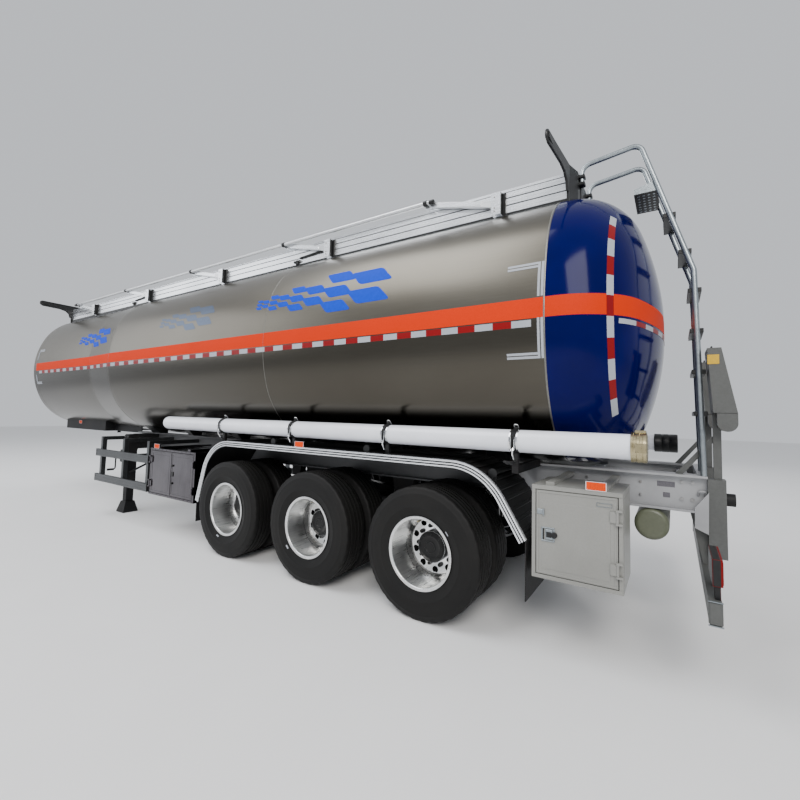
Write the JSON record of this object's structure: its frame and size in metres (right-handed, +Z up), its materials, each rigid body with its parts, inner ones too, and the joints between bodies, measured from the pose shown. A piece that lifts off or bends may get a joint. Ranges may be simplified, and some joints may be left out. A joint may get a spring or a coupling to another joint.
{
  "type": "tank semi-trailer",
  "caption": "Long oval aluminium tank trailer with twin wheels, landing legs, a roof walkway with folding guard rail, side hose tubes, lockers and a rear ladder.",
  "frame": {"origin": "on the ground under the middle of the overall length and width", "axes": "+X forward to the kingpin end, +Y to the trailer's left, +Z up"},
  "size_m": [11.83, 2.5, 3.9425],
  "materials": {
    "mill_aluminium": "dull mill finish, brighter below the stripe",
    "blue_paint": "deep blue gloss paint",
    "dark_steel": "black paint",
    "plate_aluminium": "bright sheet",
    "galvanised": "zinc grey",
    "frame_silver": "silver paint",
    "tyre_rubber": "black rubber",
    "flap_rubber": "black rubber",
    "wheel_aluminium": "polished",
    "white_tube": "white gloss",
    "box_paint": "light grey satin",
    "grey_paint": "mid grey satin",
    "stainless": "polished stainless sheet",
    "amber": "amber lens",
    "red_lens": "red lens in a black housing"
  },
  "bodies": {
    "trailer": {"air_reservoir": "box_paint", "axle_1": "dark_steel", "axle_2": "dark_steel", "axle_3": "dark_steel", "chassis_frame": "frame_silver", "coupler": "dark_steel", "hose_tube_left": "white_tube", "hose_tube_right": "white_tube", "ladder": "galvanised", "landing_leg_feet": "dark_steel", "landing_leg_housings": "dark_steel", "manhole_collars": "plate_aluminium", "mud_flaps": "flap_rubber", "mudguard_left": "dark_steel", "mudguard_right": "dark_steel", "rear_buffers": "flap_rubber", "rear_bumper": "grey_paint", "rear_lamps": "red_lens", "side_brackets": "dark_steel", "side_guard_left": "plate_aluminium", "side_guard_right": "plate_aluminium", "side_lamps": "amber", "sign_boxes": "grey_paint", "spring_hangers": "dark_steel", "springs": "dark_steel", "tank_barrel": "mill_aluminium", "tank_rear_head": "blue_paint", "tank_saddles": "dark_steel", "tool_box": "box_paint", "valve_cabinet": "stainless", "walkway": "plate_aluminium", "walkway_end_plates": "dark_steel"},
    "wheel_1_left": {"tyres_1_left": "tyre_rubber", "rims_1_left": "wheel_aluminium"},
    "wheel_1_right": {"tyres_1_right": "tyre_rubber", "rims_1_right": "wheel_aluminium"},
    "wheel_2_left": {"tyres_2_left": "tyre_rubber", "rims_2_left": "wheel_aluminium"},
    "wheel_2_right": {"tyres_2_right": "tyre_rubber", "rims_2_right": "wheel_aluminium"},
    "wheel_3_left": {"tyres_3_left": "tyre_rubber", "rims_3_left": "wheel_aluminium"},
    "wheel_3_right": {"tyres_3_right": "tyre_rubber", "rims_3_right": "wheel_aluminium"},
    "lid_1": {"manhole_lid_1": "plate_aluminium"},
    "lid_2": {"manhole_lid_2": "plate_aluminium"},
    "lid_3": {"manhole_lid_3": "plate_aluminium"},
    "lid_4": {"manhole_lid_4": "plate_aluminium"},
    "guard_link_1": {"guard_arm_1": "plate_aluminium"},
    "guard_link_2": {"guard_arm_2": "plate_aluminium"},
    "guard_link_3": {"guard_arm_3": "plate_aluminium"},
    "guard_link_4": {"guard_arm_4": "plate_aluminium"},
    "guard_link_5": {"guard_arm_5": "plate_aluminium"},
    "guard_tube": {"guard_rail": "plate_aluminium"},
    "tool_box_leaf": {"tool_box_door": "box_paint"},
    "cabinet_leaf_rear": {"cabinet_door_rear": "stainless"},
    "cabinet_leaf_front": {"cabinet_door_front": "stainless"}
  },
  "joints": [
    {"name": "wheel_1_left_spin", "type": "hinge", "parent": "trailer", "child": "wheel_1_left", "pos_m": [-3.735, 0.925, 0.54], "axis": [0, 1, 0], "continuous": true},
    {"name": "wheel_1_right_spin", "type": "hinge", "parent": "trailer", "child": "wheel_1_right", "pos_m": [-3.735, -0.925, 0.54], "axis": [0, 1, 0], "continuous": true},
    {"name": "wheel_2_left_spin", "type": "hinge", "parent": "trailer", "child": "wheel_2_left", "pos_m": [-2.425, 0.925, 0.54], "axis": [0, 1, 0], "continuous": true},
    {"name": "wheel_2_right_spin", "type": "hinge", "parent": "trailer", "child": "wheel_2_right", "pos_m": [-2.425, -0.925, 0.54], "axis": [0, 1, 0], "continuous": true},
    {"name": "wheel_3_left_spin", "type": "hinge", "parent": "trailer", "child": "wheel_3_left", "pos_m": [-1.115, 0.925, 0.54], "axis": [0, 1, 0], "continuous": true},
    {"name": "wheel_3_right_spin", "type": "hinge", "parent": "trailer", "child": "wheel_3_right", "pos_m": [-1.115, -0.925, 0.54], "axis": [0, 1, 0], "continuous": true},
    {"name": "lid_1_hinge", "type": "hinge", "parent": "trailer", "child": "lid_1", "pos_m": [-3.839, 0, 3.763], "axis": [0, -1, 0], "range_deg": [0, 100]},
    {"name": "lid_2_hinge", "type": "hinge", "parent": "trailer", "child": "lid_2", "pos_m": [-1.539, 0, 3.763], "axis": [0, -1, 0], "range_deg": [0, 100]},
    {"name": "lid_3_hinge", "type": "hinge", "parent": "trailer", "child": "lid_3", "pos_m": [0.761, 0, 3.763], "axis": [0, -1, 0], "range_deg": [0, 100]},
    {"name": "lid_4_hinge", "type": "hinge", "parent": "trailer", "child": "lid_4", "pos_m": [3.061, 0, 3.763], "axis": [0, -1, 0], "range_deg": [0, 100]},
    {"name": "guard_raise_1", "type": "hinge", "parent": "trailer", "child": "guard_link_1", "pos_m": [-4.185, 0.724, 3.6], "axis": [0, -1, 0], "range_deg": [0, 75]},
    {"name": "guard_raise_2", "type": "hinge", "parent": "trailer", "child": "guard_link_2", "pos_m": [-2.095, 0.724, 3.6], "axis": [0, -1, 0], "range_deg": [0, 75]},
    {"name": "guard_raise_3", "type": "hinge", "parent": "trailer", "child": "guard_link_3", "pos_m": [-0.005, 0.724, 3.6], "axis": [0, -1, 0], "range_deg": [0, 75]},
    {"name": "guard_raise_4", "type": "hinge", "parent": "trailer", "child": "guard_link_4", "pos_m": [2.085, 0.724, 3.6], "axis": [0, -1, 0], "range_deg": [0, 75]},
    {"name": "guard_raise_5", "type": "hinge", "parent": "trailer", "child": "guard_link_5", "pos_m": [4.175, 0.724, 3.6], "axis": [0, -1, 0], "range_deg": [0, 75]},
    {"name": "guard_tube_pin", "type": "hinge", "parent": "guard_link_1", "child": "guard_tube", "pos_m": [-3.44662, 0.767, 3.78], "axis": [0, -1, 0], "range_deg": [-75, 0]},
    {"name": "tool_box_leaf_hinge", "type": "hinge", "parent": "trailer", "child": "tool_box_leaf", "pos_m": [-5.214, 1.204, 0.87], "axis": [0, 0, 1], "range_deg": [0, 110]},
    {"name": "cabinet_leaf_rear_hinge", "type": "hinge", "parent": "trailer", "child": "cabinet_leaf_rear", "pos_m": [-0.354, 1.204, 0.815], "axis": [0, 0, 1], "range_deg": [0, 110]},
    {"name": "cabinet_leaf_front_hinge", "type": "hinge", "parent": "trailer", "child": "cabinet_leaf_front", "pos_m": [0.684, 1.204, 0.815], "axis": [0, 0, -1], "range_deg": [0, 110]}
  ],
  "couplings": [
    {"joint": "guard_raise_2", "follows": "guard_raise_1", "ratio": 1},
    {"joint": "guard_raise_3", "follows": "guard_raise_1", "ratio": 1},
    {"joint": "guard_raise_4", "follows": "guard_raise_1", "ratio": 1},
    {"joint": "guard_raise_5", "follows": "guard_raise_1", "ratio": 1},
    {"joint": "guard_tube_pin", "follows": "guard_raise_1", "ratio": -1}
  ]
}
